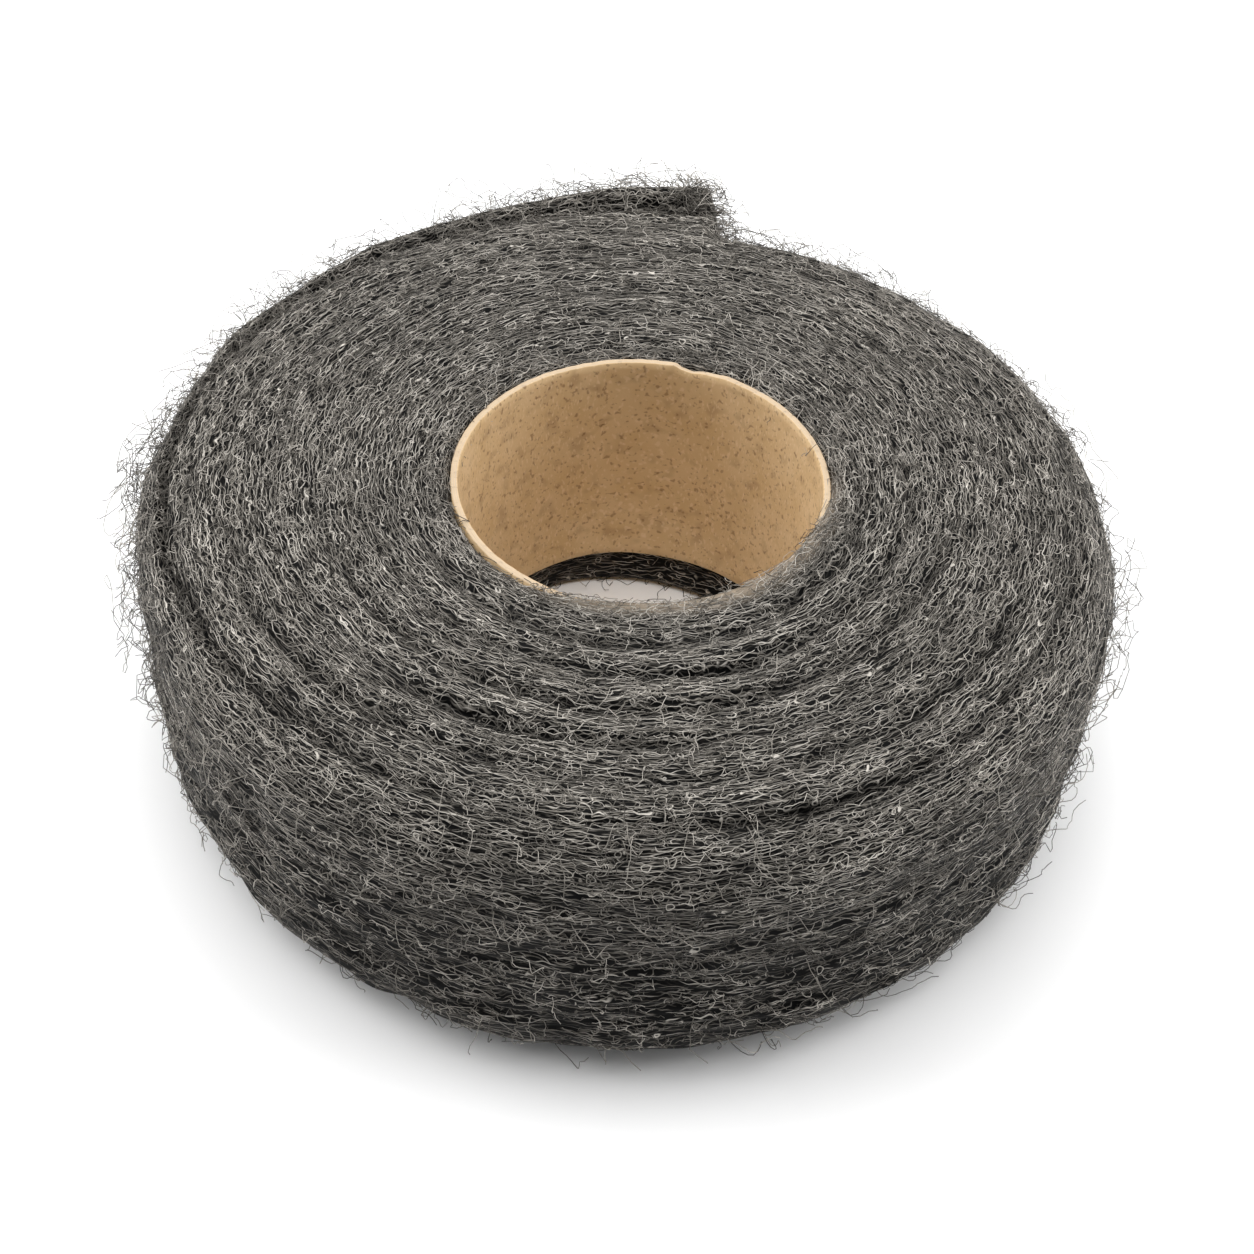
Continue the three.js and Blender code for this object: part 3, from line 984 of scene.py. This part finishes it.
class WOOLROLL_OT_core(bpy.types.Operator):
    """Make the cardboard core"""

    bl_idname = "wool_roll.make_core"
    bl_label = "Make Cardboard Core"

    def execute(self, context):
        core = context.scene.roll_core
        piece = new_piece("cardboard_tube", core_mesh(core))
        piece.data.materials.append(chipboard(core))
        finish_piece(piece, ["cardboard_core"])
        return {"FINISHED"}


class WOOLROLL_OT_band(bpy.types.Operator):
    """Make the wound band of wool"""

    bl_idname = "wool_roll.make_band"
    bl_label = "Make Wound Band"

    def execute(self, context):
        band = context.scene.roll_band
        piece = new_piece("wound_wool", band_mesh(band))
        values = {
            "Turn Groove Depth": band.groove_depth,
            "Groove Wander": band.groove_wander,
            "Lump Height": band.lump_height,
            "Strand Height": band.strand_height,
            "Seed": float(band.seed),
            "Material": felted_steel(band),
        }
        grow(piece, felt_tree(), values)
        finish_piece(piece, ["steel_wool"])
        return {"FINISHED"}


class WOOLROLL_OT_fibres(bpy.types.Operator):
    """Strew the loose fibres over the band"""

    bl_idname = "wool_roll.make_fibres"
    bl_label = "Make Loose Fibres"

    def execute(self, context):
        band, fibres = context.scene.roll_band, context.scene.roll_fibres
        if "wound_wool" not in bpy.data.objects:
            raise RuntimeError("the wound band comes before its fibres")
        surface = bpy.data.objects["wound_wool"].data
        tree = fibre_tree()
        shared = {
            "Axis": tuple(AXIS),
            "Length": fibres.fibre_length,
            "Points": 12,
            "Curl Size": fibres.curl_size,
            "Curl Width": fibres.curl_width,
            "Lift": 0.7 * MM,
            "Free Curl": 0.15,
            "Thickness": fibres.thickness,
            "Material": shaved_steel(band),
            "Least Radius": CORE_RADIUS + 1 * MM,
        }
        curls = {
            "Length": fibres.curl_length,
            "Points": 9,
            "Curl Size": 1.5 * MM,
            "Curl Width": 1.2 * MM,
            "Spread": EVERY_WAY,
            "Cling": 0.45,
            "Lift": 2 * MM,
            "Free Curl": 0.5,
        }
        free = {
            "Spread": EVERY_WAY,
            "Cling": 0.15,
            "Free Curl": 1.0,
            "Thickness": 0.18 * MM,
            "Brightness": 0.8,
            "Length": 8 * MM,
            "Curl Size": 4.5 * MM,
            "Curl Width": 2.2 * MM,
        }
        # Each patch: density, the least and most its surface faces up, and what differs from the rest.
        patches = {
            "top_fibres": (fibres.top_density, STEEP, UP, {"Spread": 0.7}),
            "top_curls": (fibres.curl_density, STEEP, UP, curls),
            "side_fibres": (fibres.side_density, -STEEP, STEEP, {"Spread": 0.6}),
            "side_curls": (fibres.side_density, -STEEP, STEEP, curls),
            "under_fibres": (fibres.under_density, DOWN, -STEEP, {"Spread": 1.2}),
            "stray_fibres": (fibres.stray_density, -0.7, UP, {**free, "Lift": fibres.stray_height}),
            "end_fibres": (
                fibres.end_density,
                -0.9,
                UP,
                {**free, "Lift": 3.2 * MM, "Where": "loose", "Brightness": 1.0},
            ),
            "edge_fibres": (
                fibres.edge_density,
                -0.3,
                UP,
                {
                    **free,
                    "Where": "fuzzy",
                    "Brightness": 0.75,
                    "Thickness": 0.16 * MM,
                    "Lift": 5.5 * MM,
                    "Length": 13 * MM,
                    "Points": 16,
                    "Curl Width": 3.4 * MM,
                },
            ),
            "bore_fibres": (
                fibres.rim_density * 0.5,
                DOWN,
                -0.35,
                {**free, "Lift": 3 * MM, "Least Radius": 0.0, "Most Radius": CORE_RADIUS + 4 * MM},
            ),
            "rim_fibres": (
                fibres.rim_density,
                0.2,
                UP,
                {
                    "Where": "on_top",
                    "Spread": EVERY_WAY,
                    "Cling": 0.3,
                    "Lift": 1.2 * MM,
                    "Least Radius": 0.0,
                    "Most Radius": CORE_RADIUS + 5 * MM,
                },
            ),
            "lip_fibres": (
                fibres.lip_density,
                -0.3,
                UP,
                {
                    **curls,
                    "Where": "dusted",
                    "Brightness": 1.3,
                    "Thickness": 0.11 * MM,
                    "Lift": 1 * MM,
                    "Cling": 0.35,
                    "Least Radius": 0.0,
                    "Most Radius": CORE_RADIUS + 6 * MM,
                },
            ),
        }
        for number, (name, (density, low, high, own)) in enumerate(patches.items()):
            piece = new_piece(name, surface.copy())
            values = {
                **shared,
                "Density": density,
                "Facing Up From": low,
                "Facing Up To": high,
                "Seed": fibres.seed + number,
                **own,
            }
            grow(piece, tree, values)
            finish_piece(piece)
        return {"FINISHED"}


class WOOLROLL_OT_stage(bpy.types.Operator):
    """Make the floor, the lights and the camera"""

    bl_idname = "wool_roll.make_stage"
    bl_label = "Make Stage"

    def execute(self, context):
        stage = context.scene.roll_stage
        half = 3.0
        corners = [(-half, -half, 0), (half, -half, 0), (half, half, 0), (-half, half, 0)]
        mesh = bpy.data.meshes.new("floor")
        mesh.from_pydata(corners, [], [(0, 1, 2, 3)])
        mesh.materials.append(studio_floor(stage))
        new_piece("floor", mesh)
        make_lights(context.scene, stage)
        make_camera(context.scene, stage)
        context.scene.view_settings.view_transform = "Standard"
        return {"FINISHED"}


def make_lights(scene, stage):
    """A big softbox overhead and a little behind, one at each side, and white surroundings."""
    world = bpy.data.worlds.new("studio")
    world.use_nodes = True
    backdrop = world.node_tree.nodes["Background"]
    backdrop.inputs["Color"].default_value = (1, 1, 1, 1)
    backdrop.inputs["Strength"].default_value = stage.world_strength
    scene.world = world
    for name, place, size, power in (
        ("overhead_softbox", (-0.08, 0.1, 1.2), 1.3, stage.key_power),
        ("left_softbox", (-1.1, 0.15, 0.6), 0.9, stage.side_power),
        ("right_softbox", (1.1, 0.15, 0.6), 0.9, stage.side_power),
    ):
        lamp = bpy.data.lights.new(name, "AREA")
        lamp.shape = "SQUARE"
        lamp.size = size
        lamp.energy = power
        light = bpy.data.objects.new(name, lamp)
        light.location = place
        light.rotation_euler = (light.location - AXIS).to_track_quat("Z", "Y").to_euler()
        scene.collection.objects.link(light)


def make_camera(scene, stage):
    data = bpy.data.cameras.new("camera")
    data.lens = stage.lens
    camera = bpy.data.objects.new("camera", data)
    camera.location = (AXIS.x, AXIS.y - stage.camera_distance, stage.camera_height)
    aim = Vector((AXIS.x + stage.aim_side, AXIS.y, stage.aim_height))
    looking = (aim - camera.location).to_track_quat("-Z", "Y")
    camera.rotation_euler = (looking @ Quaternion((0, 0, 1), stage.camera_roll)).to_euler()
    scene.collection.objects.link(camera)
    scene.camera = camera


class WOOLROLL_PT_panel(bpy.types.Panel):
    """Lists the roll's pieces and their settings"""

    bl_idname = "WOOLROLL_PT_panel"
    bl_label = "Wool Roll"
    bl_space_type = "VIEW_3D"
    bl_region_type = "UI"
    bl_category = "Wool Roll"

    def draw(self, context):
        for name, operator in STEPS:
            group = getattr(context.scene, name)
            box = self.layout.box()
            for setting in group.bl_rna.properties:
                if setting.identifier not in ("rna_type", "name"):
                    box.prop(group, setting.identifier)
            box.operator(operator)


# ---- Registration ----

SETTINGS = {
    "roll_core": CoreSettings,
    "roll_band": BandSettings,
    "roll_fibres": FibreSettings,
    "roll_stage": StageSettings,
}
STEPS = (
    ("roll_core", WOOLROLL_OT_core.bl_idname),
    ("roll_band", WOOLROLL_OT_band.bl_idname),
    ("roll_fibres", WOOLROLL_OT_fibres.bl_idname),
    ("roll_stage", WOOLROLL_OT_stage.bl_idname),
)
OPERATORS = (WOOLROLL_OT_core, WOOLROLL_OT_band, WOOLROLL_OT_fibres, WOOLROLL_OT_stage)


def register():
    for name, group in SETTINGS.items():
        bpy.utils.register_class(group)
        setattr(bpy.types.Scene, name, PointerProperty(type=group))
    for made in (*OPERATORS, WOOLROLL_PT_panel):
        bpy.utils.register_class(made)


def unregister():
    for made in reversed((*OPERATORS, WOOLROLL_PT_panel)):
        bpy.utils.unregister_class(made)
    for name, group in SETTINGS.items():
        delattr(bpy.types.Scene, name)
        bpy.utils.unregister_class(group)


def main():
    register()
    bpy.ops.wool_roll.make_core()
    bpy.ops.wool_roll.make_band()
    bpy.ops.wool_roll.make_fibres()
    bpy.ops.wool_roll.make_stage()


if __name__ == "__main__":
    main()
